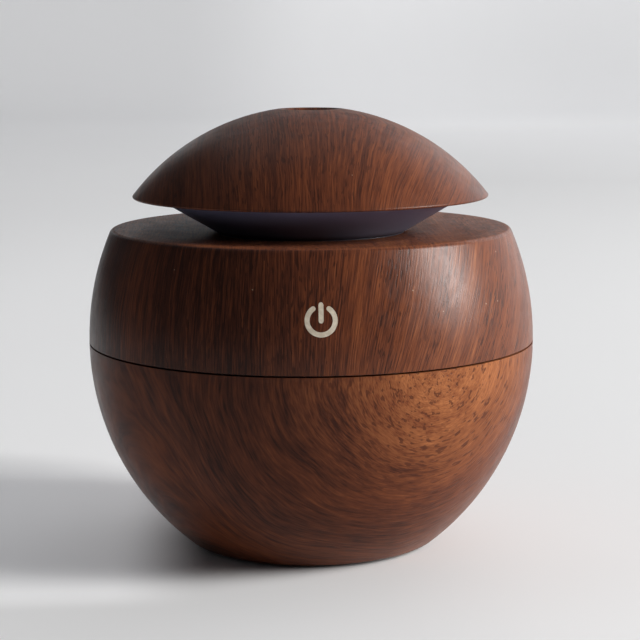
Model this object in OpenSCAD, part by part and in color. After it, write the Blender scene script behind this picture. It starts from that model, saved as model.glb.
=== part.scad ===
// Ball-shaped cool mist humidifier: a water bowl, and a head that turns and lifts off it.
// The head hangs a sprung cotton wick in the water. The wick feeds a vibrating mesh plate
// under the mist hole of a mushroom cap, which stands on a lamp cone.
// Millimetres, +Z up, origin on the table under the middle, power icon towards -Y, USB towards +Y.

/* [Body] */
// Outside diameter at the widest level
body_d = 101; // [100:0.5:102]
// Height of the widest level
belt_z = 46.6; // [46.4:0.1:46.8]
// Height of the edge of the head's top, the deck
deck_z = 72; // [71.8:0.1:72.2]
// How far the deck sinks from its edge to the lamp cone
deck_dish = 1.1; // [0.9:0.05:1.2]
// Radius of the side's curve above the widest level
head_arc_r = 62.6; // [62:0.2:64]
// Radius of the side's curve below the widest level
bowl_arc_r = 59.1; // [58.6:0.1:60]
// Wall thickness of the wood-print shells
shell_t = 1.8; // [1.7:0.05:1.8]
// Dark joint line between head and bowl
seam_gap = 0.4; // [0.3:0.05:0.5]
// Rounding of the deck's outer edge
deck_edge_r = 1.3; // [0.8:0.1:1.8]
// Rounding where the side turns under to the base
base_edge_r = 2; // [1.5:0.1:2.5]

/* [Cap] */
// Radius of the ball that the cap is a slice of
cap_ball_r = 50.8; // [50.4:0.1:51]
// Height of the ball's top, before the mist hole is cut
cap_top_z = 99.05; // [99:0.05:99.3]
// Height of the cap's sharp rim
cap_rim_z = 78.9; // [78.8:0.1:79]
// Radius of the mist hole
mist_hole_r = 6; // [5.9:0.1:6.5]
// Rounding of the mist hole's lip
mist_lip_r = 1.2; // [0.8:0.1:1.2]
// Radius of the lamp cone where it leaves the deck
cone_low_r = 21.2; // [20.8:0.1:21.4]
// Radius of the lamp cone under the cap
cone_top_r = 35; // [34.6:0.1:35.2]

/* [Tank] */
// Wall thickness of the inner water tank
tank_t = 1.6; // [1.4:0.1:1.8]
// Outside height of the tank's floor
tank_floor_z = 8.5; // [8.4:0.1:8.7]
// Height of the tank's rim
tank_rim_z = 52; // [51.9:0.05:52.05]
// Level of the filling line, about 130 ml
fill_z = 35; // [30:0.5:40]
// How far the rubber foot stands out of the base
foot_h = 0.6; // [0.4:0.1:0.8]

/* [Wick] */
// Radius of the cotton wick
wick_r = 4.2; // [3.8:0.1:4.4]
// Free height of the spring under the wick
spring_h = 8; // [7:0.5:9]
// Wire radius of the wick spring
spring_wire_r = 0.3; // [0.25:0.05:0.35]

/* [Head] */
// Turn between the free and the locked place of the head, in degrees
lock_turn = 30; // [28:1:32]
// Half width of a bayonet lug, in degrees
lug_half = 8; // [6:1:8]
// Turn that frees the wick tube, in degrees
wick_turn = 45; // [40:1:50]
// Radius of the power icon's ring, at the middle of its line
icon_mid_r = 2.85; // [2.7:0.05:3.2]
// Line width of the power icon
icon_line = 1.05; // [0.8:0.05:1.2]
// Height of the power icon's centre
icon_z = 58; // [57.5:0.1:58.5]

/* [Hidden] */
$fn = 144;

fit_gap = 0.1;                                  // between parts that touch
eps = 0.01;                                     // overlap of a cut past the face it opens
belt_r = body_d / 2;
head_arc_c = [belt_r - head_arc_r, belt_z];     // centre of the side's upper curve
bowl_arc_c = [belt_r - bowl_arc_r, belt_z];     // centre of the side's lower curve
seam_z = belt_z - seam_gap / 2;
cap_c = [0, cap_top_z - cap_ball_r];            // centre of the cap's ball
rim_edge_r = 0.35;                              // rounding of the cap's rim

// Heights inside the head, upwards
skirt_z = 45;
seal_z = tank_rim_z + fit_gap;
floor_z = 54.2;                                 // underside of the chassis floor
floor_t = 2;
floor_top = floor_z + floor_t;
board_z = 59;
board_t = 1.6;
board_top = board_z + board_t;
led_board_z = 66.7;
led_board_t = 1.4;
led_board_top = led_board_z + led_board_t;
deck_low_z = deck_z - deck_dish;
deck_under = deck_low_z - 1.2;
cone_z = deck_low_z + fit_gap;
cap_base_z = cap_rim_z + 0.2;
cap_base_t = 2.2;
cap_base_top = cap_base_z + cap_base_t;
shelf_z = 88.4;                                 // seat of the atomizer's lower gasket
gasket_t = 1.4;
mesh_z = shelf_z + gasket_t + fit_gap;
mesh_t = 0.15;
piezo_t = 0.65;
piezo_top = mesh_z + mesh_t + piezo_t;
nozzle_z = piezo_top + gasket_t + fit_gap;
nozzle_top = cap_top_z - 1.1;

// Radii of the joint between head and tank, inwards
tank_arc_r = bowl_arc_r - shell_t - 0.8;
collar_r = belt_r - shell_t - 1.2;
collar_in = collar_r - tank_t;
ledge_in = collar_in - 1.5;
stop_in = ledge_in + 0.2;
skirt_r = ledge_in - 0.4;
skirt_t = 1.6;
lug_r = collar_in - 0.4;
lug_angles = [90, 210, 330];
gate_half = lug_half + 3;
lug_z = 46.6;
lug_t = 1.6;
ledge_z = lug_z + lug_t + 0.3;
ledge_t = 1.5;

// Radii on the middle axis, outwards
wick_bore = 5;
wick_tube_r = 6.4;
stem_bore = 5.4;
stem_r = 7;
socket_in = 8.6;
socket_r = 10.4;
disc_r = 8;
housing_bore = 9.7;
housing_r = 11.6;
wick_tube_z = 11.6;
spring_z = wick_tube_z + 1.4;
wick_z = spring_z + spring_h + 0.05;
wick_top = mesh_z - 0.05;

// Power icon
icon_gap = 33.7;                                // half of the ring's gap, in degrees
icon_bar = [-0.05, 3.15];                      // ends of the bar's middle line, from the ring's centre
icon_t = 0.4;

// Screws: radius and height of the head, radius and length of the shank
chassis_screw = [2.4, 1.5, 1.05, 9.5];
board_screw = [1.9, 1.2, 0.85, 4];
led_screw = [1.7, 1.1, 0.8, 3.2];
cap_screw = [2.4, 1.3, 1, 5.5];
housing_screw = [1.8, 1.1, 0.85, 3.6];
tank_screw = [2.5, 1.3, 1.25, 5];

// Where the screws and the lamps stand: radius from the middle axis, and angles
chassis_screw_r = 36;
chassis_screw_angles = [45, 135, 225, 315];
board_screw_angles = [20, 160, 270];
board_screw_r = 26;
led_screw_angles = [60, 180, 300];
led_screw_r = 27.6;
cap_screw_angles = [90, 210, 330];
cap_screw_r = 24;
cap_screw_sink = 1.4;
housing_screw_angles = [0, 180];
housing_screw_r = 14;
tank_screw_angles = [90, 210, 330];
tank_screw_r = 22;
tank_screw_seat_z = 3;
tank_base_t = 4;                                // thickness of the bowl's base
foot_r = 25;
foot_in = 19;
led_angles = [0 : 60 : 300];
led_r = 14.5;

// Sockets and contacts
usb_z = board_top + 1.35;
usb_mouth_y = 46.2;
touch_z = icon_z + 0.5;
touch_board_y = -44.85;                         // front face of the touch board
wire_hole_r = 8.3;                              // where the atomizer's wires go up
wire_pitch = 2.2;

// Routes of the wires inside the head
atomizer_route = [
    [15, -3, 62.5], [14.8, -3, 64.3], [13, -2.8, 65.2], [10, -2, 65.4], [8.4, -0.6, 66.6],
    [wire_hole_r, 0, 70], [wire_hole_r, 0, 76], [wire_hole_r, 0, 83], [wire_hole_r, 0, 90]
];
led_route = [
    [15, 5, 62.5], [15.2, 5.1, 64.4], [16.6, 5.8, 65.3], [17.6, 6.4, 65.8], [17.7, 6.5, 66.4]
];

// ---- Helpers ----

function unit(v) = v / norm(v);

// Holes for a screw: through, self-tapped, and sunk for the head
function clear_r(screw) = screw[2] + 0.25;
function pilot_r(screw) = screw[2] + 0.05;
function sink_r(screw) = screw[0] + 0.3;

// Points on the Catmull-Rom curve through a route
function smooth(route, steps) = let (last = len(route) - 1) [
    for (i = [0 : last - 1], s = [0 : steps - 1])
        let (t = s / steps, a = route[max(i - 1, 0)], b = route[i],
             c = route[i + 1], d = route[min(i + 2, last)])
        0.5 * (2 * b + (c - a) * t + (2 * a - 5 * b + 4 * c - d) * t * t
               + (3 * b - a - 3 * c + d) * t * t * t),
    route[last]
];

// Points along a helix round the Z axis, from z = 0 to z = height
function helix(radius, height, turns, per_turn) = [
    for (i = [0 : turns * per_turn])
        let (a = 360 * i / per_turn)
        [radius * cos(a), radius * sin(a), height * i / (turns * per_turn)]
];

// A round wire along a path. ref is any direction that the path never follows.
module wire(path, radius, ref = [0, 0, 1], sides = 8) {
    last = len(path) - 1;
    points = [
        for (i = [0 : last])
            let (t = unit(path[min(i + 1, last)] - path[max(i - 1, 0)]),
                 a = unit(cross(ref, t)), b = cross(t, a))
            for (k = [0 : sides - 1])
                path[i] + radius * (a * cos(360 * k / sides) + b * sin(360 * k / sides))
    ];
    near_end = [[for (k = [0 : sides - 1]) k]];
    far_end = [[for (k = [sides - 1 : -1 : 0]) last * sides + k]];
    side = [
        for (i = [0 : last - 1], k = [0 : sides - 1])
            let (j = (k + 1) % sides)
            [i * sides + k, (i + 1) * sides + k, (i + 1) * sides + j, i * sides + j]
    ];
    polyhedron(points, concat(near_end, far_end, side), convexity = 6);
}

// The square section of a ring
module section(r_in, r_out, z0, z1) {
    translate([r_in, z0]) square([r_out - r_in, z1 - z0]);
}

module ring(r_out, r_in, z0, z1) {
    rotate_extrude() section(r_in, r_out, z0, z1);
}

// A part of such a ring, between two angles
module ring_part(r_out, r_in, z0, z1, a0, a1) {
    rotate([0, 0, a0])
        rotate_extrude(angle = a1 - a0) section(r_in, r_out, z0, z1);
}

// The half plane that a lathe profile may use, between two heights
module band(z0, z1) {
    translate([0, z0]) square([belt_r + 10, z1 - z0]);
}

module at(radius, angles) {
    for (a = angles)
        rotate([0, 0, a]) translate([radius, 0, 0]) children();
}

// A round-headed cross screw, head below z = 0 and shank above it
module cross_screw(screw) {
    head_r = screw[0];
    head_h = screw[1];
    difference() {
        union() {
            translate([0, 0, -head_h]) cylinder(r1 = head_r * 0.8, r2 = head_r, h = head_h * 0.4);
            translate([0, 0, -head_h * 0.6]) cylinder(r = head_r, h = head_h * 0.6);
            cylinder(r = screw[2], h = screw[3]);
        }
        for (a = [0, 90])
            rotate([0, 0, a]) translate([-head_r * 0.6, -head_r * 0.13, -head_h - eps])
                cube([head_r * 1.2, head_r * 0.26, head_h * 0.6]);
    }
}

// What a rounding takes off the corner between a big arc and a level line.
// turn is 1 where the line is above the arc and -1 where it is below.
module corner_trim(arc_c, arc_r, line_z, edge_r, turn) {
    z = line_z - turn * edge_r;
    x = arc_c[0] + sqrt(pow(arc_r - edge_r, 2) - pow(z - arc_c[1], 2));
    out = unit([x, z] - arc_c);
    reach = edge_r * 3;
    difference() {
        polygon([[x, z], [x, z] + reach * out, [x + reach, z + turn * reach], [x, z + turn * reach]]);
        translate([x, z]) circle(edge_r);
    }
}

// What has to go from the corner between an arc and the wall of a hole through it, to round it
module lip_trim(arc_c, arc_r, hole_r, edge_r) {
    x = hole_r + edge_r;
    z = arc_c[1] + sqrt(pow(arc_r - edge_r, 2) - pow(x - arc_c[0], 2));
    out = unit([x, z] - arc_c);
    reach = edge_r * 3;
    difference() {
        polygon([[x, z], [x, z] + reach * out, [hole_r - 1, z + reach], [hole_r - 1, z]]);
        translate([x, z]) circle(edge_r);
    }
}

// ---- Bowl, the part that stands on the table ----

module bowl_profile(inset, z0) {
    intersection() {
        translate(bowl_arc_c) circle(bowl_arc_r - inset);
        band(z0, seam_z);
    }
}

module bowl_shell() {
    color([0.29, 0.15, 0.1])
    difference() {
        rotate_extrude()
            difference() {
                bowl_profile(0, foot_h);
                corner_trim(bowl_arc_c, bowl_arc_r, foot_h, base_edge_r, -1);
                intersection() {
                    bowl_profile(shell_t, tank_base_t);
                    band(tank_base_t, seam_z + 1);
                }
            }
        ring(foot_r + 2 * fit_gap, foot_in - 2 * fit_gap, foot_h - 1, foot_h + 1);
        at(tank_screw_r, tank_screw_angles) {
            translate([0, 0, foot_h]) cylinder(r = sink_r(tank_screw), h = tank_screw_seat_z - foot_h);
            cylinder(r = clear_r(tank_screw), h = tank_base_t + 1);
        }
    }
}

module foot_ring() {
    color([0.12, 0.12, 0.12])
        ring(foot_r, foot_in, 0, foot_h + 0.9);
}

module water_tank() {
    shoulder_z = belt_z - 2;
    boss_z = tank_base_t + fit_gap;
    color([0.9, 0.91, 0.91, 0.8])
    difference() {
        union() {
            rotate_extrude()
                difference() {
                    union() {
                        intersection() {
                            translate(bowl_arc_c) circle(tank_arc_r);
                            band(tank_floor_z, shoulder_z);
                        }
                        section(0, collar_r, shoulder_z - 3, tank_rim_z);
                    }
                    intersection() {
                        translate(bowl_arc_c) circle(tank_arc_r - tank_t);
                        band(tank_floor_z + tank_t, shoulder_z - 1);
                    }
                    section(0, collar_in, shoulder_z - 4, tank_rim_z + 1);
                }
            for (a = lug_angles) {
                // the ledge that holds a lug down, and the stops at both ends of the lug's turn
                ring_part(collar_in + 0.5, ledge_in, ledge_z, ledge_z + ledge_t,
                          a + gate_half, a + 120 - gate_half);
                ring_part(collar_in + 0.5, stop_in, lug_z - 0.4, ledge_z + 0.8,
                          a - lock_turn - lug_half - 3, a - lock_turn - lug_half - 1);
                ring_part(collar_in + 0.5, stop_in, lug_z - 0.4, ledge_z + 0.8,
                          a + lug_half + 1, a + gate_half + 1);
            }
            at(tank_screw_r, tank_screw_angles)
                translate([0, 0, boss_z]) cylinder(r = 3.2, h = tank_floor_z - boss_z + 0.8);
            fill_line();
        }
        at(tank_screw_r, tank_screw_angles)
            cylinder(r = pilot_r(tank_screw), h = tank_floor_z - 0.3);
    }
}

// Two short raised bars at the filling level on the tank's inner wall
module fill_line() {
    wall_r = bowl_arc_c[0] + sqrt(pow(tank_arc_r - tank_t, 2) - pow(fill_z - belt_z, 2));
    for (a = [-14, 166])
        ring_part(wall_r + 0.6, wall_r - 0.5, fill_z - 0.5, fill_z + 0.1, a, a + 28);
}

module tank_screws() {
    color("silver")
        at(tank_screw_r, tank_screw_angles)
            translate([0, 0, tank_screw_seat_z - fit_gap / 2]) cross_screw(tank_screw);
}

// ---- Seal ----

module tank_seal() {
    color([0.75, 0.76, 0.77])
        rotate_extrude()
            translate([collar_in - 0.65, seal_z])
                union() {
                    square([1.85, floor_z - seal_z - fit_gap]);
                    translate([-0.12, 1]) square([2.05, 0.4]);
                }
}

// ---- Head: shell, chassis and stem ----

// A broken ring and an upright bar, with round ends, in lines of one width
module icon_outline(line) {
    half = line / 2;
    difference() {
        circle(icon_mid_r + half);
        circle(icon_mid_r - half);
        polygon([[0, 0], 9 * [-sin(icon_gap), cos(icon_gap)], [0, 12], 9 * [sin(icon_gap), cos(icon_gap)]]);
    }
    for (side = [-1, 1])
        translate(icon_mid_r * [side * sin(icon_gap), cos(icon_gap)]) circle(half - 0.02);
    translate([-half, icon_bar[0]]) square([line, icon_bar[1] - icon_bar[0]]);
    for (end = icon_bar)
        translate([0, end]) circle(half - 0.02);
}

// The icon's outline cut straight back into the front of the head
module icon_cut(line, depth) {
    intersection() {
        translate([0, -belt_r + 4, icon_z]) rotate([90, 0, 0])
            linear_extrude(8) icon_outline(line);
        rotate_extrude()
            difference() {
                intersection() {
                    translate(head_arc_c) circle(head_arc_r);
                    band(icon_z - 8, icon_z + 8);
                }
                translate(head_arc_c) circle(head_arc_r - depth);
            }
    }
}

module power_icon() {
    color([0.78, 0.72, 0.63])
        icon_cut(icon_line - 0.04, icon_t);
}

module upper_shell() {
    dish_r = 42.5;
    color([0.23, 0.11, 0.07])
    difference() {
        union() {
            rotate_extrude()
                difference() {
                    intersection() {
                        translate(head_arc_c) circle(head_arc_r);
                        band(belt_z + seam_gap / 2, deck_z);
                    }
                    corner_trim(head_arc_c, head_arc_r, deck_z, deck_edge_r, 1);
                    intersection() {
                        translate(head_arc_c) circle(head_arc_r - shell_t);
                        band(belt_z - 1, deck_under);
                    }
                    polygon([
                        [cone_low_r, deck_low_z], [dish_r, deck_z], [dish_r, deck_z + 1],
                        [cone_low_r, deck_z + 1]
                    ]);
                    section(0, cone_low_r + fit_gap, deck_under - 1, deck_z + 1);
                }
            at(chassis_screw_r, chassis_screw_angles)
                translate([0, 0, floor_top + fit_gap])
                    cylinder(r = 3.2, h = deck_under - floor_top);
            at(led_screw_r, led_screw_angles)
                translate([0, 0, led_board_top + fit_gap])
                    cylinder(r = 2.2, h = deck_under - led_board_top);
        }
        at(chassis_screw_r, chassis_screw_angles)
            cylinder(r = pilot_r(chassis_screw), h = floor_top + 11);
        at(led_screw_r, led_screw_angles)
            cylinder(r = pilot_r(led_screw), h = deck_low_z - 0.8);
        icon_cut(icon_line, icon_t + 0.03);
        plug_mouth();
    }
}

// The hole with round ends that the power plug goes into
module plug_mouth() {
    end_r = 3.3;
    end_x = 2.6;
    translate([0, belt_r - 8, usb_z]) rotate([-90, 0, 0]) {
        translate([-end_x, -end_r, 0]) cube([2 * end_x, 2 * end_r, 12]);
        for (x = [-end_x, end_x])
            translate([x, 0, 0]) cylinder(r = end_r, h = 12);
    }
}

module chassis() {
    flange_r = belt_r - shell_t - 0.9;
    groove_z = floor_z - 1.6;
    root_z = floor_z + 1;
    slot_top = floor_z - 1.2;
    slot_half = 13;
    color([0.88, 0.88, 0.86])
    difference() {
        union() {
            rotate_extrude() {
                section(stem_r + fit_gap, flange_r, floor_z, floor_top);
                section(collar_in + 1.35, flange_r, groove_z, root_z);
                section(skirt_r - skirt_t, collar_in - 0.85, groove_z, root_z);
                section(skirt_r - skirt_t, skirt_r, skirt_z, root_z);
                section(socket_in, socket_r, floor_z - 4, root_z);
            }
            for (a = lug_angles)
                ring_part(lug_r, skirt_r - 0.5, lug_z, lug_z + lug_t, a - lug_half, a + lug_half);
            at(board_screw_r, board_screw_angles)
                translate([0, 0, floor_top - 1])
                    cylinder(r = 2.4, h = board_z - floor_top + 1 - fit_gap);
            for (a = [0 : 60 : 300])
                rotate([0, 0, a]) translate([socket_r - 0.5, -0.6, floor_z - 0.9])
                    cube([skirt_r - socket_r - 0.5, 1.2, 1.9]);
        }
        at(chassis_screw_r, chassis_screw_angles)
            translate([0, 0, floor_z - 2]) cylinder(r = clear_r(chassis_screw), h = 6);
        at(board_screw_r, board_screw_angles)
            translate([0, 0, floor_top - 0.8]) cylinder(r = pilot_r(board_screw), h = 6);
        // L-shaped slots for the wick tube's two lugs
        for (a = [0, 180]) {
            ring_part(socket_r + 1, socket_in - 0.3, floor_z - 2.9, slot_top, a - slot_half, a + wick_turn);
            ring_part(socket_r + 1, socket_in - 0.2, floor_z - 5, slot_top,
                      a + wick_turn - slot_half, a + wick_turn + slot_half);
        }
    }
}

module chassis_screws() {
    color("silver")
        at(chassis_screw_r, chassis_screw_angles)
            translate([0, 0, floor_z - fit_gap / 2]) cross_screw(chassis_screw);
}

// The pipe that guides the wick up through the head
module centre_tube() {
    color([0.88, 0.88, 0.86]) {
        difference() {
            union() {
                translate([0, 0, floor_z]) cylinder(r = stem_r, h = shelf_z - 2.4 - floor_z);
                translate([0, 0, floor_top + 0.05]) cylinder(r = 8.6, h = 1.4);
            }
            translate([0, 0, floor_z - 1]) cylinder(r = stem_bore, h = 60);
        }
    }
}

// ---- Head: electronics ----

module main_board() {
    color([0.05, 0.3, 0.16])
    translate([0, 0, board_z])
    difference() {
        union() {
            cylinder(r = 31, h = board_t);
            translate([-8, 20, 0]) cube([16, 25, board_t]);
            translate([-7, -43.7, 0]) cube([14, 25, board_t]);
        }
        translate([0, 0, -1]) cylinder(r = 9.2, h = 4);
        at(board_screw_r, board_screw_angles)
            translate([0, 0, -1]) cylinder(r = clear_r(board_screw), h = 4);
    }
}

module board_screws() {
    color("silver")
        at(board_screw_r, board_screw_angles)
            translate([0, 0, board_top + 0.05]) rotate([180, 0, 0]) cross_screw(board_screw);
}

module driver_chip() {
    chip = [5, 6.2, 1.5];
    color([0.08, 0.08, 0.09])
    translate([-17.5, 10, board_top + 0.05]) {
        translate([0, 0, 0.2]) cube(chip);
        for (i = [0 : 3], side = [-1, 1])
            translate([side > 0 ? chip[0] - 0.1 : -0.9, 0.9 + 1.35 * i, 0]) cube([1, 0.45, 0.7]);
    }
}

module boost_inductor() {
    color([0.25, 0.25, 0.27])
    translate([18, -14, board_top + 0.05])
    difference() {
        cylinder(r = 4.4, h = 4.8);
        rotate_extrude() translate([3.6, 1]) square([2, 2.8]);
    }
}

module capacitor() {
    color([0.2, 0.22, 0.35])
    translate([-16, -15, board_top + 0.05])
    difference() {
        cylinder(r = 3.2, h = 5.4);
        rotate_extrude() translate([3, 0.9]) square([1, 0.5]);
        for (a = [0, 90])
            rotate([0, 0, a]) translate([-2.4, -0.1, 5.2]) cube([4.8, 0.2, 1]);
    }
}

module wire_sockets() {
    size = [4.4, 6, 3.4];
    wall = 0.7;
    color([0.93, 0.92, 0.88])
    for (y = [-6, 2])
        translate([13.2, y, board_top + 0.05])
            difference() {
                cube(size);
                translate([wall, wall, 1]) cube(size - [2 * wall, 2 * wall, 0]);
            }
}

module usb_outline(inset) {
    w = 3.75 - inset;
    h = 1.35 - inset;
    polygon([[-w, h], [w, h], [w, 0], [w - 0.9, -h], [-w + 0.9, -h], [-w, 0]]);
}

module usb_jack() {
    deep = 5.6;
    metal_t = 0.35;
    color([0.75, 0.76, 0.78])
    translate([0, usb_mouth_y, usb_z + 0.05]) rotate([90, 0, 0])
        difference() {
            linear_extrude(deep) usb_outline(0);
            translate([0, 0, -1]) linear_extrude(deep) usb_outline(metal_t);
        }
}

module usb_tongue() {
    color([0.1, 0.1, 0.1])
    translate([-1.9, usb_mouth_y - 4.5, usb_z + 0.1]) cube([3.8, 3.9, 0.6]);
}

module touch_board() {
    color([0.05, 0.3, 0.16])
    translate([-7, touch_board_y, floor_top + 0.15]) cube([14, 1, 8]);
}

// Sprung contact from the touch board to the wall behind the icon
module touch_spring() {
    color([0.8, 0.65, 0.3])
    translate([0, touch_board_y - 0.3, touch_z]) rotate([90, 0, 0])
        wire(helix(1.7, 1.9, 3, 20), 0.22);
}

module led_board() {
    color([0.93, 0.93, 0.92])
    translate([0, 0, led_board_z])
    difference() {
        cylinder(r = 30.2, h = led_board_t);
        translate([0, 0, -1]) cylinder(r = 9.5, h = 4);
        at(led_screw_r, led_screw_angles)
            translate([0, 0, -1]) cylinder(r = clear_r(led_screw), h = 4);
    }
}

module leds() {
    size = 3.5;
    color([0.95, 0.94, 0.8])
    at(led_r, led_angles)
        translate([-size / 2, -size / 2, led_board_top + 0.05])
            difference() {
                cube([size, size, 1.2]);
                translate([size / 2, size / 2, 0.9]) cylinder(r = 1.3, h = 1);
            }
}

module led_screws() {
    color("silver")
        at(led_screw_r, led_screw_angles)
            translate([0, 0, led_board_z - 0.05]) cross_screw(led_screw);
}

module led_wires() {
    color([0.6, 0.1, 0.08])
    for (y = [-1.3, 0, 1.3])
        translate([0, y, 0]) wire(smooth(led_route, 3), 0.45, [0, 1, 0.1]);
}

// ---- Head: lamp cone and cap ----

module light_ring() {
    t = 1.6;
    low_in = cone_low_r - 1.8;
    groove_z = cap_base_z + 1.3;
    slope = (cap_base_z - cone_z) / (cone_top_r - cone_low_r);
    lift = t * sqrt(1 + slope * slope);
    lip_z = cap_base_z - fit_gap;
    color([0.3, 0.29, 0.36, 0.85])
    rotate_extrude()
        polygon([
            [low_in, led_board_top + fit_gap],
            [cone_low_r + 3.4, led_board_top + fit_gap],
            [cone_low_r + 3.4, deck_under - fit_gap],
            [cone_low_r, deck_under - fit_gap],
            [cone_low_r, cone_z],
            [cone_top_r, cap_base_z],
            [cone_top_r, groove_z],
            [cone_top_r - t, groove_z],
            [cone_top_r - t, lip_z],
            [cone_top_r - (lift + fit_gap) / slope, lip_z],
            [low_in, cone_z + lift - (cone_low_r - low_in) * slope]
        ]);
}

module cap_base() {
    color([0.16, 0.11, 0.09])
    difference() {
        rotate_extrude()
            difference() {
                intersection() {
                    translate(cap_c) circle(cap_ball_r - shell_t - 0.15);
                    band(cap_base_z, cap_base_top);
                }
                translate([0, cap_base_z - 1]) square([9.6, 5]);
                translate([cone_top_r - 1.75, cap_base_z - 1]) square([1.9, 2.45]);
            }
        at(cap_screw_r, cap_screw_angles) {
            translate([0, 0, cap_base_z - 1]) cylinder(r = sink_r(cap_screw), h = 1 + cap_screw_sink);
            translate([0, 0, cap_base_z - 1]) cylinder(r = clear_r(cap_screw), h = 5);
        }
        at(housing_screw_r, housing_screw_angles)
            translate([0, 0, cap_base_z - 1]) cylinder(r = pilot_r(housing_screw), h = 5);
    }
}

module cap_shell() {
    in_r = cap_ball_r - shell_t;
    boss_top = cap_c[1] + sqrt(pow(in_r, 2) - pow(cap_screw_r - 3, 2)) + 0.4;
    color([0.27, 0.13, 0.08])
    difference() {
        union() {
            rotate_extrude()
                difference() {
                    intersection() {
                        translate(cap_c) circle(cap_ball_r);
                        band(cap_rim_z, cap_top_z + 1);
                    }
                    corner_trim(cap_c, cap_ball_r, cap_rim_z, rim_edge_r, -1);
                    translate(cap_c) circle(in_r);
                    translate([0, cap_top_z - 5]) square([mist_hole_r, 10]);
                    lip_trim(cap_c, cap_ball_r, mist_hole_r, mist_lip_r);
                }
            intersection() {
                at(cap_screw_r, cap_screw_angles)
                    translate([0, 0, cap_base_top + fit_gap])
                        cylinder(r = 3, h = boss_top - cap_base_top);
                translate([0, 0, cap_c[1]]) sphere(cap_ball_r - shell_t / 2);
            }
        }
        at(cap_screw_r, cap_screw_angles)
            cylinder(r = pilot_r(cap_screw), h = cap_base_top + 6);
    }
}

module cap_screws() {
    color("silver")
        at(cap_screw_r, cap_screw_angles)
            translate([0, 0, cap_base_z + cap_screw_sink - fit_gap / 2]) cross_screw(cap_screw);
}

// ---- Head: atomizer ----

// Passages for the atomizer's two wires
module wire_holes(radius) {
    for (side = [-1, 1])
        translate([wire_hole_r, side * wire_pitch / 2, cap_base_top - 1]) cylinder(r = radius, h = 20);
}

module atomizer_housing() {
    flange_t = 1.6;
    color([0.85, 0.85, 0.84])
    difference() {
        union() {
            translate([0, 0, cap_base_top + 0.05]) cylinder(r = housing_r, h = nozzle_z - cap_base_top);
            translate([0, 0, cap_base_top + 0.05]) cylinder(r = 16.5, h = flange_t);
        }
        translate([0, 0, shelf_z]) cylinder(r = housing_bore, h = 10);
        translate([0, 0, cap_base_top - 1]) cylinder(r = stem_bore, h = 20);
        translate([0, 0, cap_base_top - 1]) cylinder(r = stem_r + 0.05, h = shelf_z - 2.3 - cap_base_top + 1);
        wire_holes(0.65);
        at(housing_screw_r, housing_screw_angles)
            translate([0, 0, cap_base_top - 1]) cylinder(r = clear_r(housing_screw), h = 4);
    }
}

module housing_screws() {
    color("silver")
        at(housing_screw_r, housing_screw_angles)
            translate([0, 0, cap_base_top + 1.7]) rotate([180, 0, 0]) cross_screw(housing_screw);
}

module lower_gasket() {
    color([0.8, 0.8, 0.8])
    difference() {
        ring(housing_bore - 0.15, 5.6, shelf_z + 0.05, shelf_z + gasket_t);
        wire_holes(0.6);
    }
}

module mesh_plate() {
    color([0.8, 0.8, 0.78])
    translate([0, 0, mesh_z]) cylinder(r = disc_r, h = mesh_t);
}

module piezo_ring() {
    color([0.72, 0.66, 0.5])
        ring(disc_r, 4.6, mesh_z + mesh_t, piezo_top);
}

module upper_gasket() {
    color([0.8, 0.8, 0.8])
        ring(housing_bore - 0.15, 5.8, piezo_top + 0.05, piezo_top + gasket_t);
}

// Clamps the gaskets, and carries the mist up into the cap's hole
module mist_nozzle() {
    bore = 4.7;
    color([0.1, 0.08, 0.07])
    rotate_extrude()
        union() {
            translate([bore, nozzle_z]) square([housing_bore - fit_gap - bore, 1.4]);
            translate([bore, nozzle_z + 1.4]) square([2.1, 1]);
            difference() {
                translate([bore, nozzle_z + 0.5])
                    square([mist_hole_r - 0.2 - bore, nozzle_top - nozzle_z - 0.5]);
                translate([bore + 0.55, nozzle_top]) rotate(45) square(0.4, center = true);
            }
        }
}

module atomizer_wires() {
    color([0.75, 0.08, 0.06])
    for (side = [-1, 1])
        translate([0, side * wire_pitch / 2, 0])
            intersection() {
                wire(smooth(atomizer_route, 3), 0.42, [0, 1, 0.1]);
                translate([-50, -50, 0]) cube([100, 100, shelf_z + gasket_t - 0.1]);
            }
}

// ---- Wick ----

module wick_tube() {
    lug_z0 = floor_z - 2.7;
    color([0.86, 0.87, 0.87])
    difference() {
        union() {
            translate([0, 0, wick_tube_z]) cylinder(r = wick_tube_r, h = floor_z - wick_tube_z - 0.3);
            translate([0, 0, floor_z - 3.7]) cylinder(r = socket_in - 0.3, h = 3.4);
            translate([0, 0, floor_z - 7.5]) cylinder(r = 8.1, h = 2.6);
            for (a = [0, 180])
                ring_part(socket_r - 0.3, wick_tube_r - 0.5, lug_z0, lug_z0 + 1.3, a - 10, a + 10);
        }
        translate([0, 0, spring_z]) cylinder(r = wick_bore, h = 60);
        translate([0, 0, wick_tube_z - 1]) cylinder(r = 1.8, h = 5);
        // windows that let the water in
        for (a = [0 : 60 : 300], z = [15, 24.5, 34])
            rotate([0, 0, a]) {
                translate([0, -1.1, z]) cube([10, 2.2, 6]);
                for (end = [0, 6])
                    translate([0, 0, z + end]) rotate([0, 90, 0]) cylinder(r = 1.1, h = 10);
            }
        // grip flutes on the collar that the fingers turn
        for (a = [0 : 30 : 330])
            rotate([0, 0, a + 15]) translate([8.9, 0, floor_z - 8]) cylinder(r = 1.2, h = 3.6);
    }
}

module wick_spring() {
    color([0.75, 0.76, 0.78])
    translate([0, 0, spring_z + spring_wire_r + 0.02])
        wire(helix(3.6, spring_h - 2 * spring_wire_r - 0.04, 5, 20), spring_wire_r);
}

module wick() {
    color([0.95, 0.94, 0.9])
    translate([0, 0, wick_z]) cylinder(r = wick_r, h = wick_top - wick_z);
}

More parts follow.
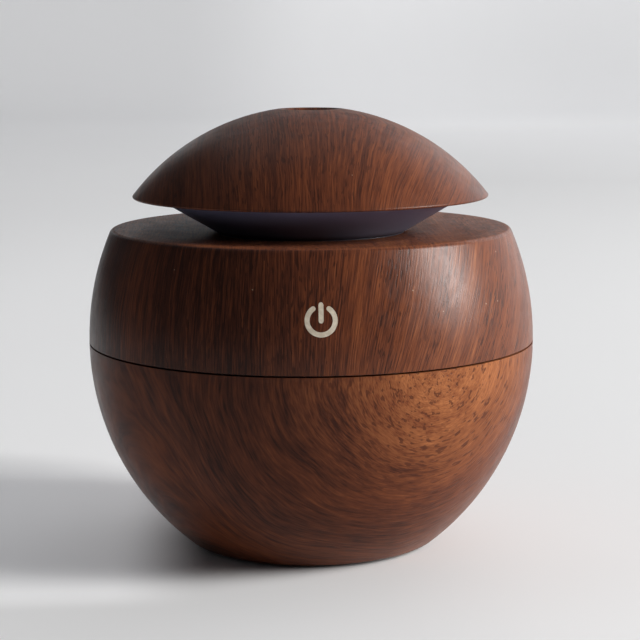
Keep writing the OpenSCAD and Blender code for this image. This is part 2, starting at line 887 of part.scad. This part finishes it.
bowl_shell();
water_tank();
foot_ring();
tank_screws();
tank_seal();
upper_shell();
power_icon();
chassis();
chassis_screws();
centre_tube();
main_board();
board_screws();
driver_chip();
boost_inductor();
capacitor();
wire_sockets();
usb_jack();
usb_tongue();
touch_board();
touch_spring();
led_board();
leds();
led_screws();
led_wires();
light_ring();
cap_base();
cap_shell();
cap_screws();
atomizer_housing();
housing_screws();
lower_gasket();
mesh_plate();
piezo_ring();
upper_gasket();
mist_nozzle();
atomizer_wires();
wick_tube();
wick_spring();
wick();
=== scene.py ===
import math

import bmesh
import bpy
from mathutils import Matrix, Vector


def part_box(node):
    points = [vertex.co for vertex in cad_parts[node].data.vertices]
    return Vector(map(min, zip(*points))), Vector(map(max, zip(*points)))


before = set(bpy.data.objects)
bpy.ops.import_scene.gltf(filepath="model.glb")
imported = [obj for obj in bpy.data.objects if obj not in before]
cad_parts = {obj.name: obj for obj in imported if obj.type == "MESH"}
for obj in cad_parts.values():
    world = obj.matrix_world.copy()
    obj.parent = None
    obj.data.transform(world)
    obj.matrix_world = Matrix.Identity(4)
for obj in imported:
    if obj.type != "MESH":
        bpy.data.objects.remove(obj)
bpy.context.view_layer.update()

# ---- Places, from the frame ----

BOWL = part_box("bowl_shell")
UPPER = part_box("upper_shell")
BODY_R = UPPER[1].x                      # radius at the widest level
DECK_Z = UPPER[1].z                      # top of the head, at the outer edge of its deck
CAP_RIM_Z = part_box("cap_shell")[0].z     # lower edge of the cap


# ---- Node trees ----

class Tree:
    """Builds one material. Each method adds a node and returns its output socket."""

    def __init__(self, name):
        self.material = bpy.data.materials.new(name)
        self.material.use_nodes = True
        self.nodes = self.material.node_tree.nodes
        self.links = self.material.node_tree.links
        self.shader = self.nodes["Principled BSDF"]

    def put(self, socket, value):
        if isinstance(value, bpy.types.NodeSocket):
            self.links.new(value, socket)
        else:
            socket.default_value = value

    def math(self, operation, a, b=0.0, clamp=False):
        node = self.nodes.new("ShaderNodeMath")
        node.operation = operation
        node.use_clamp = clamp
        self.put(node.inputs[0], a)
        self.put(node.inputs[1], b)
        return node.outputs[0]

    def add(self, a, b):
        return self.math("ADD", a, b)

    def sub(self, a, b):
        return self.math("SUBTRACT", a, b)

    def mul(self, a, b):
        return self.math("MULTIPLY", a, b)

    def length2(self, a, b):
        return self.math("SQRT", self.add(self.mul(a, a), self.mul(b, b)))

    def range(self, value, low, high, to_low=0.0, to_high=1.0, smooth=True):
        """value from low..high to to_low..to_high, clamped at both ends"""
        node = self.nodes.new("ShaderNodeMapRange")
        node.interpolation_type = "SMOOTHSTEP" if smooth else "LINEAR"
        self.put(node.inputs["Value"], value)
        self.put(node.inputs["From Min"], low)
        self.put(node.inputs["From Max"], high)
        self.put(node.inputs["To Min"], to_low)
        self.put(node.inputs["To Max"], to_high)
        return node.outputs["Result"]

    def place(self):
        """The point on the object in metres, in the row frame, as a vector and as x, y, z"""
        point = self.nodes.new("ShaderNodeTexCoord").outputs["Object"]
        split = self.nodes.new("ShaderNodeSeparateXYZ")
        self.links.new(point, split.inputs[0])
        return point, *split.outputs

    def vector(self, x, y, z):
        node = self.nodes.new("ShaderNodeCombineXYZ")
        for socket, value in zip(node.inputs, (x, y, z)):
            self.put(socket, value)
        return node.outputs[0]

    def scaled(self, vector, factor):
        node = self.nodes.new("ShaderNodeVectorMath")
        node.operation = "MULTIPLY"
        self.links.new(vector, node.inputs[0])
        node.inputs[1].default_value = factor
        return node.outputs[0]

    def noise(self, vector, scale=1.0, detail=2.0, rough=0.5, distortion=0.0):
        """cloudy noise from 0 to 1; scale is in features per unit of the vector"""
        node = self.nodes.new("ShaderNodeTexNoise")
        self.links.new(vector, node.inputs["Vector"])
        node.inputs["Scale"].default_value = scale
        node.inputs["Detail"].default_value = detail
        node.inputs["Roughness"].default_value = rough
        node.inputs["Distortion"].default_value = distortion
        return node.outputs["Fac"]

    def wave(self, vector, scale=1.0, detail=2.0, rough=0.5):
        """the same noise about zero, from -0.5 to 0.5"""
        return self.sub(self.noise(vector, scale, detail, rough), 0.5)

    def blend(self, factor, a, b):
        """a number between a and b"""
        return self.add(a, self.mul(factor, self.sub(b, a)))

    def normal_z(self):
        """1 on level faces that look up, 0 on upright walls"""
        split = self.nodes.new("ShaderNodeSeparateXYZ")
        self.links.new(self.nodes.new("ShaderNodeTexCoord").outputs["Normal"], split.inputs[0])
        return split.outputs[2]

    def cells(self, vector, scale=1.0):
        """distance to the nearest of many scattered points"""
        node = self.nodes.new("ShaderNodeTexVoronoi")
        self.links.new(vector, node.inputs["Vector"])
        node.inputs["Scale"].default_value = scale
        return node.outputs["Distance"]

    def ramp(self, value, *stops):
        """stops are (position, (r, g, b)), in linear light"""
        node = self.nodes.new("ShaderNodeValToRGB")
        band = node.color_ramp
        band.elements[0].position, band.elements[0].color = stops[0][0], (*stops[0][1], 1)
        band.elements[1].position, band.elements[1].color = stops[-1][0], (*stops[-1][1], 1)
        for position, colour in stops[1:-1]:
            band.elements.new(position).color = (*colour, 1)
        self.put(node.inputs[0], value)
        return node.outputs[0]

    def mix(self, factor, a, b, blend="MIX"):
        node = self.nodes.new("ShaderNodeMix")
        node.data_type = "RGBA"
        node.blend_type = blend
        self.put(node.inputs["Factor"], factor)
        self.put(node.inputs[6], a if isinstance(a, bpy.types.NodeSocket) else (*a, 1))
        self.put(node.inputs[7], b if isinstance(b, bpy.types.NodeSocket) else (*b, 1))
        return node.outputs[2]

    def bump(self, height, depth, strength=1.0, under=None):
        """depth is the height of the relief in metres"""
        node = self.nodes.new("ShaderNodeBump")
        self.links.new(height, node.inputs["Height"])
        node.inputs["Distance"].default_value = depth
        node.inputs["Strength"].default_value = strength
        if under is not None:
            self.links.new(under, node.inputs["Normal"])
        return node.outputs[0]

    def surface(self, **sockets):
        """Sets the Principled shader's sockets, such as Base_Color=..., and returns the material"""
        for name, value in sockets.items():
            self.put(self.shader.inputs[name.replace("_", " ")], value)
        return self.material


# ---- Wood print ----

# Linear light colours of the print, dark to light
PORE = (0.030, 0.0098, 0.0062)
DARK = (0.072, 0.0208, 0.0105)
BROWN = (0.130, 0.0365, 0.0150)
RUSSET = (0.185, 0.0550, 0.0210)
TAN = (0.270, 0.0930, 0.0340)
ORANGE = (0.400, 0.1450, 0.0540)
SPECK = (0.45, 0.33, 0.24)

# Layers of straight grain, as how many features lie in a metre across it and along it
STREAKS = {
    "bands": (110, 5),
    "broad": (450, 16),
    "lines": (2300, 75),
    "threads": (4400, 210),
    "dashes": (2500, 400),
}

# Layers of ringed grain: features in a metre outwards, in a radian round, in a metre along the heart
RINGS = {
    "bands": (120, 0.8, 9),
    "broad": (420, 1.6, 14),
    "lines": (1500, 3.2, 30),
    "threads": (3400, 8, 60),
    "dashes": (1500, 8, 70),
}

# Specular level of the lacquer on each shell
HEAD_GLOSS, CAP_GLOSS, BOWL_GLOSS = 0.22, 0.18, 0.11


def satin_lacquer(tree, colour, relief, gloss):
    """The print's clear coat: a satin skin that follows the pores a little, duller on level faces"""
    point = tree.place()[0]
    orange_peel = tree.bump(tree.noise(point, 700, 2, 0.5), depth=0.00002, strength=0.3)
    sunk = tree.bump(relief, depth=0.00006, strength=0.38, under=orange_peel)
    satin = tree.range(tree.noise(point, 300, 3, 0.6), 0.3, 0.7, to_low=0.30, to_high=0.37)
    dull = tree.range(tree.normal_z(), 0.8, 0.98, to_low=0.0, to_high=0.17)
    return tree.surface(Base_Color=colour, Roughness=tree.add(satin, dull), Normal=sunk,
                        Specular_IOR_Level=gloss)


def fleabites(tree, point, colour):
    """A few tiny pale specks in the print"""
    speck = tree.range(tree.cells(point, 170), 0.034, 0.020)
    return tree.mix(tree.mul(speck, 0.6), colour, SPECK)


def streaked(tree, point, board, streaks, contrast=1.0):
    """Colour and relief of long fine streaks. board is the slow change of tone over the print, which
    also carries painted shade and light; streaks(layer, detail, rough) gives a layer's noise, from 0
    to 1."""
    bands = tree.sub(streaks("bands", 2, 0.5), 0.5)
    broad = tree.sub(streaks("broad", 2, 0.5), 0.5)
    lines = tree.sub(streaks("lines", 2, 0.6), 0.5)
    threads = tree.sub(streaks("threads", 2, 0.6), 0.5)
    fine = tree.add(lines, threads)
    tone = tree.add(tree.add(tree.mul(bands, 0.42), tree.mul(broad, 0.36)),
                    tree.mul(fine, 0.85 * contrast))
    colour = tree.ramp(tree.range(tree.add(tone, board), -0.40, 0.40, smooth=False),
                       (0.0, PORE), (0.25, DARK), (0.5, BROWN), (0.75, RUSSET), (1.0, TAN))
    dashes = tree.range(streaks("dashes", 1, 0.5), 0.57, 0.67)
    pores = tree.mul(dashes, tree.range(bands, 0.12, -0.04, to_low=0.35, to_high=1.0))
    colour = tree.mix(tree.mul(pores, 0.8 * contrast), colour, PORE)
    relief = tree.sub(fine, tree.mul(pores, 0.4))
    return fleabites(tree, point, colour), relief


def shell_grain():
    """Upright streaks round the head, which lean over towards the right, and run back over the deck"""
    tree = Tree("wood_shell_grain")
    point, x, y, z = tree.place()
    upright_z = 0.055                    # the streaks turn about their places at this level
    angle = tree.math("ARCTAN2", x, tree.mul(y, -1.0))
    lean = tree.range(angle, -0.13, 1.0, to_low=0.0, to_high=14.0, smooth=False)
    lean = tree.mul(lean, tree.range(angle, 2.2, 3.0, to_low=1.0, to_high=0.0))
    wander = tree.mul(tree.wave(tree.scaled(point, (30, 30, 26))), 0.06)
    turned = tree.add(wander, tree.sub(angle, tree.mul(lean, tree.sub(z, upright_z))))
    round_x = tree.mul(tree.math("SINE", turned), BODY_R)
    round_y = tree.mul(tree.math("COSINE", turned), BODY_R)
    level = tree.range(tree.normal_z(), 0.75, 0.97)

    def streaks(layer, detail, rough):
        across, along = STREAKS[layer]
        on_side = tree.vector(tree.mul(round_x, across), tree.mul(round_y, across),
                              tree.mul(z, along))
        on_deck = tree.vector(tree.mul(x, across), tree.mul(y, along), tree.mul(z, along))
        return tree.blend(level, tree.noise(on_side, 1.0, detail, rough),
                          tree.noise(on_deck, 1.0, detail, rough))

    # Painted shade: the print is darker on the left, away from the window, a little lighter on the
    # right
    painted_side_shade = tree.range(angle, -0.60, 0.75, to_low=-0.25, to_high=0.04)
    # Painted light: the level deck is made lighter, where the cap shades it
    board = tree.blend(level, painted_side_shade, 0.12)
    return satin_lacquer(tree, *streaked(tree, point, board, streaks), HEAD_GLOSS)


def cap_grain():
    """Straight streaks that run from front to back over the cap, and splay on its right"""
    tree = Tree("wood_cap_grain")
    point, x, y, z = tree.place()
    lean = tree.range(x, -0.004, 0.042, to_low=0.0, to_high=0.85)
    front = tree.range(y, 0.005, -0.010)
    rise = tree.sub(z, CAP_RIM_Z)
    wander = tree.mul(tree.wave(tree.scaled(point, (40, 26, 40))), 0.0030)
    sideways = tree.add(wander, tree.sub(x, tree.mul(tree.mul(lean, front), rise)))

    def streaks(layer, detail, rough):
        across, along = STREAKS[layer]
        vector = tree.vector(tree.mul(sideways, across), tree.mul(y, along * 0.7),
                             tree.mul(z, along))
        return tree.noise(vector, 1.0, detail, rough)

    # The cap's print is set darker; the very slight extra darkening on its left is painted shade
    board = tree.range(x, -0.034, 0.024, to_low=-0.09, to_high=-0.08)
    return satin_lacquer(tree, *streaked(tree, point, board, streaks, contrast=0.8), CAP_GLOSS)


def ringed_grain():
    """Rings round a level line, the heart, that leaves the bowl at its front right, as if turned
    from a log that lay there"""
    heart_angle = math.radians(29)
    heart_z = BOWL[1].z + 0.0001         # at the bowl's upper edge
    tree = Tree("wood_ringed_grain")
    point, x, y, z = tree.place()
    warp = tree.wave(tree.scaled(point, (24, 24, 26)), 1.0, 1, 0.4)
    ripple = tree.wave(point, 90, 1, 0.4)
    sideways = tree.add(tree.mul(x, math.cos(heart_angle)), tree.mul(y, math.sin(heart_angle)))
    depth = tree.sub(tree.mul(x, math.sin(heart_angle)), tree.mul(y, math.cos(heart_angle)))
    drop = tree.sub(heart_z, z)
    spread = tree.length2(tree.mul(sideways, 0.95), drop)
    ring = tree.add(spread, tree.add(tree.mul(warp, 0.010), tree.mul(ripple, 0.0011)))
    turn = tree.math("ARCTAN2", drop, sideways)

    def rings(layer, detail, rough):
        outward, around, inward = RINGS[layer]
        vector = tree.vector(tree.mul(ring, outward), tree.mul(turn, around),
                             tree.mul(depth, inward))
        return tree.noise(vector, 1.0, detail, rough)

    bands = tree.sub(rings("bands", 2, 0.5), 0.5)
    broad = tree.sub(rings("broad", 2, 0.5), 0.5)
    lines = tree.sub(rings("lines", 2, 0.55), 0.5)
    threads = tree.sub(rings("threads", 2, 0.6), 0.5)
    tone = tree.add(tree.add(tree.mul(bands, 0.45), tree.mul(broad, 0.26)),
                    tree.add(tree.mul(lines, 0.5), tree.mul(threads, 0.7)))
    # Painted shade: the bowl's print is darker on its left, away from the window, a touch lighter on
    # the right
    tone = tree.add(tone, tree.range(sideways, -0.06, 0.02, to_low=-0.21, to_high=0.02))
    heart = tree.range(tree.add(ring, tree.mul(warp, 0.012)), 0.034, 0.008)
    cool = tree.ramp(tree.range(tone, -0.38, 0.38, smooth=False),
                     (0.0, PORE), (0.22, DARK), (0.5, BROWN), (0.75, RUSSET), (1.0, TAN))
    warm = tree.ramp(tree.range(tone, -0.30, 0.30, smooth=False),
                     (0.0, DARK), (0.25, RUSSET), (0.55, TAN), (1.0, ORANGE))
    colour = tree.mix(heart, cool, warm)
    dashes = tree.range(rings("dashes", 1, 0.5), 0.57, 0.68)
    pores = tree.mul(dashes, tree.range(ring, 0.052, 0.016, to_low=0.15, to_high=1.0))
    colour = tree.mix(tree.mul(pores, 0.75), colour, DARK)
    relief = tree.sub(tree.add(lines, threads), tree.mul(pores, 1.2))
    return satin_lacquer(tree, fleabites(tree, point, colour), relief, BOWL_GLOSS)


# ---- Plain materials ----

def moulded(name, colour, shade, rough=0.42, speckle=2600, **sockets):
    """Injection-moulded plastic: a faint cloud of tone, and a fine spark-eroded skin"""
    tree = Tree(name)
    point = tree.place()[0]
    cloud = tree.noise(point, 60, 3, 0.55)
    skin = tree.noise(point, speckle, 2, 0.6)
    tone = tree.mix(tree.range(cloud, 0.35, 0.65), shade, colour)
    roughness = tree.range(skin, 0.3, 0.7, rough - 0.05, rough + 0.07)
    return tree.surface(Base_Color=tone, Roughness=roughness,
                        Normal=tree.bump(skin, 0.00002, 0.4), **sockets)


def metal(name, colour, rough=0.3):
    """Plated or drawn metal, with fine marks and darker stains"""
    tree = Tree(name)
    point = tree.place()[0]
    turned = tree.noise(tree.scaled(point, (2600, 2600, 900)), 1.0, 2, 0.6)
    stain = tree.noise(point, 240, 3, 0.6)
    tone = tree.mix(tree.range(stain, 0.4, 0.75), colour, tuple(0.72 * c for c in colour))
    roughness = tree.range(turned, 0.3, 0.7, rough - 0.1, rough + 0.12)
    return tree.surface(Base_Color=tone, Roughness=roughness, Metallic=1.0,
                        Normal=tree.bump(turned, 0.00001, 0.4))


def circuit(name, mask, track):
    """Solder mask with raised copper tracks under it, which run both ways and wander a little"""
    tree = Tree(name)
    point, x, y, _ = tree.place()

    def tracks(side, gap, half_width, bends):
        wandering = tree.add(side, tree.mul(tree.noise(point, bends, 1), 0.004))
        return tree.range(tree.math("PINGPONG", wandering, gap), 0.0004, half_width)

    copper = tree.math("MAXIMUM", tracks(x, 0.0011, 0.00025, 70), tracks(y, 0.0017, 0.00028, 55))
    copper = tree.mul(copper, tree.range(tree.noise(point, 120, 1), 0.45, 0.5))
    return tree.surface(Base_Color=tree.mix(copper, mask, track), Roughness=0.28,
                        Normal=tree.bump(copper, 0.00004, 0.5))


def cotton():
    """Pressed cotton fibres that run up the wick"""
    tree = Tree("pressed_cotton")
    point = tree.place()[0]
    fibres = tree.noise(tree.scaled(point, (5200, 5200, 420)), 1.0, 3, 0.65, 0.6)
    lumps = tree.noise(point, 420, 3, 0.6)
    tone = tree.ramp(tree.add(tree.mul(fibres, 0.6), tree.mul(lumps, 0.4)),
                     (0.3, (0.62, 0.58, 0.50)), (0.7, (0.90, 0.88, 0.83)))
    relief = tree.bump(fibres, 0.0001, 0.7, tree.bump(lumps, 0.0002, 0.6))
    return tree.surface(Base_Color=tone, Roughness=0.95, Sheen_Weight=0.5, Normal=relief)


def printed_icon():
    """Pale ink, printed on the head over the wood print"""
    tree = Tree("icon_ink")
    point = tree.place()[0]
    screen = tree.noise(point, 4200, 2, 0.6)
    wear = tree.noise(point, 900, 3, 0.6)
    tone = tree.mix(tree.range(wear, 0.35, 0.7), (0.56, 0.48, 0.37), (0.70, 0.62, 0.50))
    return tree.surface(Base_Color=tone, Roughness=0.5, Normal=tree.bump(screen, 0.00002, 0.6))


def smoked_lamp():
    """Smoke-tinted polycarbonate, unlit"""
    tree = Tree("smoked_polycarbonate")
    point, _, _, z = tree.place()
    haze = tree.noise(point, 60, 2, 0.5)
    height = tree.range(z, DECK_Z, CAP_RIM_Z)
    tone = tree.mix(height, (0.19, 0.20, 0.28), (0.21, 0.21, 0.34))
    tone = tree.mix(tree.mul(haze, 0.2), tone, (0.26, 0.26, 0.40))
    # Painted shade: near black at the ring's foot, where it meets the deck under the cap
    shaded_foot = tree.range(z, DECK_Z - 0.0010, DECK_Z + 0.0004, to_low=0.9, to_high=0.0)
    tone = tree.mix(shaded_foot, tone, (0.025, 0.025, 0.032))
    return tree.surface(Base_Color=tone, Roughness=tree.range(haze, 0.3, 0.7, 0.34, 0.40),
                        Specular_IOR_Level=0.4,
                        Normal=tree.bump(tree.noise(point, 1800, 2, 0.6), 0.00001, 0.25))


def clear_plastic(name, colour, transmission, rough):
    """Milky moulded plastic that lets some light through"""
    tree = Tree(name)
    point = tree.place()[0]
    flow = tree.noise(tree.scaled(point, (90, 90, 30)), 1.0, 3, 0.6)
    tone = tree.mix(flow, tuple(0.9 * c for c in colour), colour)
    return tree.surface(Base_Color=tone, Transmission_Weight=transmission, IOR=1.49,
                        Roughness=tree.range(flow, 0.3, 0.7, rough - 0.05, rough + 0.06),
                        Normal=tree.bump(tree.noise(point, 2200, 2), 0.00001, 0.3))


MATERIALS = {
    "wood_shell": shell_grain(),
    "wood_cap": cap_grain(),
    "wood_bowl": ringed_grain(),
    "icon": printed_icon(),
    "smoke": smoked_lamp(),
    "tank": clear_plastic("tank_polypropylene", (0.80, 0.83, 0.84), 0.35, 0.34),
    "white": moulded("white_abs", (0.78, 0.78, 0.75), (0.70, 0.70, 0.66)),
    "dark": moulded("dark_abs", (0.035, 0.022, 0.017), (0.024, 0.015, 0.012), 0.45),
    "brown": moulded("brown_abs", (0.15, 0.055, 0.026), (0.11, 0.040, 0.020), 0.4),
    "rubber": moulded("foot_rubber", (0.022, 0.022, 0.022), (0.015, 0.015, 0.015), 0.75, 1500),
    "silicone": moulded("silicone", (0.55, 0.56, 0.57), (0.47, 0.48, 0.49), 0.5, 1800,
                        Subsurface_Weight=0.3, Subsurface_Scale=0.002),
    "steel": metal("plated_steel", (0.62, 0.62, 0.64)),
    "aluminium": metal("can_aluminium", (0.75, 0.75, 0.77), 0.25),
    "gilt": metal("gilt_spring", (0.80, 0.58, 0.22), 0.22),
    "board": circuit("green_board", (0.008, 0.075, 0.028), (0.02, 0.16, 0.05)),
    "lamp_board": circuit("white_board", (0.78, 0.78, 0.75), (0.66, 0.66, 0.62)),
    "chip": moulded("chip_epoxy", (0.018, 0.018, 0.02), (0.012, 0.012, 0.013), 0.6, 3600),
    "ferrite": moulded("ferrite", (0.045, 0.045, 0.05), (0.03, 0.03, 0.033), 0.7, 1300),
    "nylon": moulded("nylon", (0.74, 0.70, 0.60), (0.66, 0.62, 0.52), 0.4),
    "lens": moulded("led_phosphor", (0.80, 0.74, 0.30), (0.86, 0.84, 0.66), 0.3, 900),
    "wire": moulded("wire_pvc", (0.36, 0.02, 0.016), (0.28, 0.014, 0.012), 0.35, 1500),
    "ceramic": moulded("piezo_ceramic", (0.56, 0.51, 0.38), (0.48, 0.43, 0.31), 0.65, 2400),
    "cotton": cotton(),
}

FINISHES = {
    "wood_shell": ["upper_shell"],
    "wood_cap": ["cap_shell"],
    "wood_bowl": ["bowl_shell"],
    "icon": ["power_icon"],
    "smoke": ["light_ring"],
    "tank": ["water_tank"],
    "white": ["chassis", "centre_tube", "atomizer_housing", "wick_tube"],
    "dark": ["cap_base"],
    "brown": ["mist_nozzle"],
    "rubber": ["foot_ring"],
    "silicone": ["tank_seal", "lower_gasket", "upper_gasket"],
    "steel": ["tank_screws", "chassis_screws", "board_screws", "led_screws", "cap_screws",
              "housing_screws", "usb_jack", "mesh_plate", "wick_spring"],
    "aluminium": ["capacitor"],
    "gilt": ["touch_spring"],
    "board": ["main_board", "touch_board"],
    "lamp_board": ["led_board"],
    "chip": ["driver_chip", "usb_tongue"],
    "ferrite": ["boost_inductor"],
    "nylon": ["wire_sockets"],
    "lens": ["leds"],
    "wire": ["led_wires", "atomizer_wires"],
    "ceramic": ["piezo_ring"],
    "cotton": ["wick"],
}


def paint_nodes():
    for finish, nodes in FINISHES.items():
        for node in nodes:
            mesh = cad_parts[node].data
            mesh.materials.clear()
            mesh.materials.append(MATERIALS[finish])


# ---- Stage, light and camera ----

def lathe(name, outline, steps):
    """A surface turned round the Z axis from an outline of (radius, height) points"""
    mesh = bpy.data.meshes.new(name)
    build = bmesh.new()
    rows = []
    for i in range(steps):
        a = 2 * math.pi * i / steps
        rows.append([build.verts.new((r * math.cos(a), r * math.sin(a), z)) for r, z in outline])
    for i in range(steps):
        near, far = rows[i], rows[(i + 1) % steps]
        for j in range(len(outline) - 1):
            build.faces.new((near[j], far[j], far[j + 1], near[j + 1]))
    bmesh.ops.remove_doubles(build, verts=build.verts, dist=1e-6)
    build.to_mesh(mesh)
    build.free()
    mesh.shade_smooth()
    piece = bpy.data.objects.new(name, mesh)
    bpy.context.scene.collection.objects.link(piece)
    return piece


def stage_outline(floor_r, sweep_r, wall_z):
    """A flat floor out to floor_r, a quarter circle of sweep_r, and an upright wall"""
    bend = []
    for degrees in range(0, 91, 6):
        a = math.radians(degrees)
        bend.append((floor_r + sweep_r * math.sin(a), sweep_r * (1 - math.cos(a))))
    return [(0.0, 0.0), (0.2, 0.0), (0.6, 0.0)] + bend + [(floor_r + sweep_r, wall_z)]


def dim_side(tree, x, y, reach):
    """1 in front of the object and on its left, well away from it, where the room is dark"""
    front = tree.range(tree.add(y, tree.mul(x, -0.5)), 0.1, -0.5)
    left = tree.range(tree.add(tree.mul(y, 0.2), x), -0.1, -0.7)
    return tree.mul(tree.range(reach, 0.2, 0.9), tree.math("MAXIMUM", front, left))


def wall_glow(tree, x, y, z, dim):
    """Light from the wall behind: brightest a little right of the middle, and higher up there"""
    begins = tree.range(x, -0.15, 0.15, to_low=0.2, to_high=1.0)
    across = tree.add(tree.range(x, -0.12, 0.14, to_low=0.14, to_high=0.24),
                      tree.range(x, 0.2, 0.6, to_low=0.0, to_high=-0.06))
    upward = tree.mul(tree.range(x, -0.1, 0.3), tree.range(z, 0.04, 0.3, to_low=0.0, to_high=0.08))
    behind = tree.range(y, begins, 1.9, smooth=False)
    return tree.mul(tree.mul(tree.add(across, upward), behind), tree.sub(1.0, dim))


def floor_glow(tree, x, y, reach):
    """Light that the room throws back onto the floor: into the shadow, in front and on the right"""
    shadow = tree.mul(tree.range(x, -0.023, -0.046, to_low=0.0, to_high=0.215),
                      tree.range(y, -0.056, -0.039))
    shadow = tree.mul(shadow, tree.mul(tree.range(y, 0.085, 0.05, to_low=0.3),
                                       tree.range(x, -0.24, -0.1)))
    front = tree.mul(tree.range(y, -0.03, -0.08, to_low=0.0, to_high=0.03),
                     tree.range(x, -0.05, 0.0))
    right = tree.range(x, 0.01, 0.05, to_low=0.0, to_high=0.025)
    return tree.mul(tree.add(shadow, tree.add(front, right)), tree.range(reach, 0.9, 0.3))


def pale_stage():
    """A pale floor that curves up into a wall all round. It glows softly behind the object and on
    its right, and is darker towards the front and the left, as a room lit from one side is."""
    stage = lathe("pale_stage", stage_outline(floor_r=2.2, sweep_r=1.0, wall_z=3.0), 96)
    tree = Tree("pale_paper")
    point, x, y, z = tree.place()
    reach = tree.length2(x, y)
    dim = dim_side(tree, x, y, reach)
    tone = tree.mix(tree.noise(point, 6, 2, 0.5), (0.79, 0.793, 0.80), (0.80, 0.805, 0.81))
    bright_side = tree.mul(tree.range(x, 0.7, 1.8),
                           tree.range(y, -0.4, 0.5, to_low=0.0, to_high=0.6))
    glow = tree.add(tree.add(wall_glow(tree, x, y, z, dim), bright_side),
                    floor_glow(tree, x, y, reach))
    tree.surface(Base_Color=tree.mix(dim, tone, (0.12, 0.12, 0.125)), Roughness=0.9,
                 Specular_IOR_Level=0.1, Emission_Color=(1.0, 1.0, 1.02, 1),
                 Emission_Strength=glow)
    stage.data.materials.append(tree.material)


def area_light(name, azimuth, elevation, distance, size, watts, colour=(1, 1, 1), aim=(0, 0, 0.05)):
    """azimuth is measured from the front towards +X, in degrees"""
    a, e = math.radians(azimuth), math.radians(elevation)
    data = bpy.data.lights.new(name, "AREA")
    data.shape = "RECTANGLE"
    data.size, data.size_y = size
    data.energy = watts
    data.color = colour
    light = bpy.data.objects.new(name, data)
    toward = Vector((math.sin(a) * math.cos(e), -math.cos(a) * math.cos(e), math.sin(e)))
    light.location = Vector(aim) + distance * toward
    light.rotation_euler = toward.to_track_quat("Z", "Y").to_euler()
    bpy.context.scene.collection.objects.link(light)
    return light


def studio_light():
    area_light("window", 77, 23, 2.4, (0.8, 1.35), 96, (1.0, 0.99, 0.975))
    area_light("skylight", 165, 60, 1.8, (2.0, 1.4), 3)
    world = bpy.data.worlds.new("room")
    world.use_nodes = True
    world.node_tree.nodes["Background"].inputs["Color"].default_value = (0.88, 0.91, 1.0, 1)
    world.node_tree.nodes["Background"].inputs["Strength"].default_value = 0.13
    bpy.context.scene.world = world


def camera():
    """A long lens at the front, a little to the left of the icon, looking slightly down"""
    azimuth, yaw, pitch, roll = (math.radians(a) for a in (-2.33, 0.28, 8.95, 0.292))
    distance, height = 0.4129, 0.1154
    data = bpy.data.cameras.new("camera")
    data.sensor_width = 36
    data.lens = 102.64
    data.clip_start = 0.01
    data.clip_end = 20
    eye = bpy.data.objects.new("camera", data)
    heading = azimuth - yaw
    forward = Vector((-math.sin(heading) * math.cos(pitch), math.cos(heading) * math.cos(pitch),
                      -math.sin(pitch)))
    look = forward.to_track_quat("-Z", "Y").to_matrix().to_4x4()
    place = Matrix.Translation((distance * math.sin(azimuth), -distance * math.cos(azimuth), height))
    eye.matrix_world = place @ look @ Matrix.Rotation(-roll, 4, "Z")
    bpy.context.scene.collection.objects.link(eye)
    bpy.context.scene.camera = eye


camera()
pale_stage()
studio_light()
paint_nodes()
bpy.context.scene.view_settings.view_transform = "Standard"
